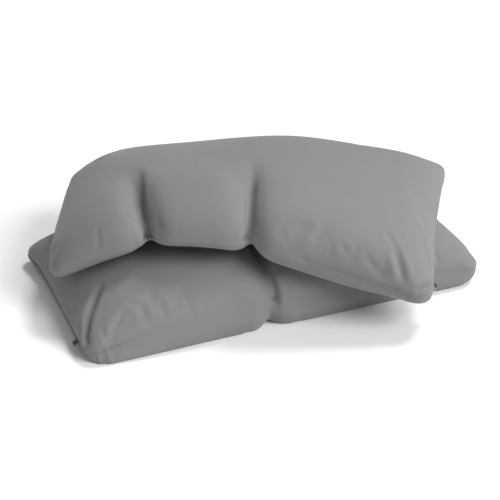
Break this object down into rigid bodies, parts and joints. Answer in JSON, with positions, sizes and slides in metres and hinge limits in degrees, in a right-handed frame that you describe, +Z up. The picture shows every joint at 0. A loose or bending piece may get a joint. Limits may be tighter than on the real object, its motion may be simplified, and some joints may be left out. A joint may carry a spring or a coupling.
{
  "type": "bed pillow pair",
  "caption": "Stacked pair of rectangular bed pillows in plain grey zipped jersey covers, the upper one lying askew across the lower one and lifting off.",
  "frame": {"origin": "centre of the pair's bounding box, on the surface that the lower pillow rests on", "axes": "+X along the lower pillow towards its zip, +Y from its front edge to its back edge, +Z up"},
  "size_m": [0.7702, 0.5972, 0.2377],
  "materials": {
    "jersey": "fine matt cotton jersey",
    "seam_thread": "overlocked thread",
    "zip_tape": "woven polyester tape",
    "zip_teeth": "moulded coil",
    "zip_metal": "satin nickel",
    "ribbon": "satin ribbon",
    "ticking": "plain cotton percale",
    "care_cloth": "coated satin",
    "fibre": "loose polyester fibre"
  },
  "bodies": {
    "lower_pillow": {"lower_cover_top": "jersey", "lower_cover_bottom": "jersey", "lower_cover_seam": "seam_thread", "lower_insert_top": "ticking", "lower_insert_bottom": "ticking", "lower_insert_piping": "ticking", "lower_care_label": "care_cloth", "lower_fibre_fill": "fibre", "lower_zip_tape_top": "zip_tape", "lower_zip_tape_bottom": "zip_tape", "lower_zip_coil_top": "zip_teeth", "lower_zip_coil_bottom": "zip_teeth", "lower_zip_stop_closed": "zip_metal", "lower_zip_stop_open": "zip_metal", "lower_loop_label": "ribbon"},
    "upper_pillow": {"upper_cover_top": "jersey", "upper_cover_bottom": "jersey", "upper_cover_seam": "seam_thread", "upper_insert_top": "ticking", "upper_insert_bottom": "ticking", "upper_insert_piping": "ticking", "upper_care_label": "care_cloth", "upper_fibre_fill": "fibre", "upper_zip_tape_top": "zip_tape", "upper_zip_tape_bottom": "zip_tape", "upper_zip_coil_top": "zip_teeth", "upper_zip_coil_bottom": "zip_teeth", "upper_zip_stop_closed": "zip_metal", "upper_zip_stop_open": "zip_metal", "upper_loop_label": "ribbon"},
    "lower_slider": {"lower_zip_slider": "zip_metal"},
    "lower_pull": {"lower_zip_pull": "zip_metal"},
    "upper_slider": {"upper_zip_slider": "zip_metal"},
    "upper_pull": {"upper_zip_pull": "zip_metal"}
  },
  "joints": [
    {"name": "upper_lift_off", "type": "slide", "parent": "lower_pillow", "child": "upper_pillow", "axis": [0, 0, 1], "range_m": [0, 0.35]},
    {"name": "lower_zip_run", "type": "slide", "parent": "lower_pillow", "child": "lower_slider", "axis": [0, -1, 0], "range_m": [0, 0.228]},
    {"name": "lower_pull_flip", "type": "hinge", "parent": "lower_slider", "child": "lower_pull", "pos_m": [0.38062, 0.1258, 0.02706], "axis": [0.1711, 0, 0.9852], "range_deg": [0, 165]},
    {"name": "upper_zip_run", "type": "slide", "parent": "upper_pillow", "child": "upper_slider", "axis": [0.4028, 0.9142, 0.0439], "range_m": [0, 0.228]},
    {"name": "upper_pull_flip", "type": "hinge", "parent": "upper_slider", "child": "upper_pull", "pos_m": [-0.36435, 0.03825, 0.09002], "axis": [-0.4898, 0.1748, 0.8541], "range_deg": [0, 165]}
  ]
}
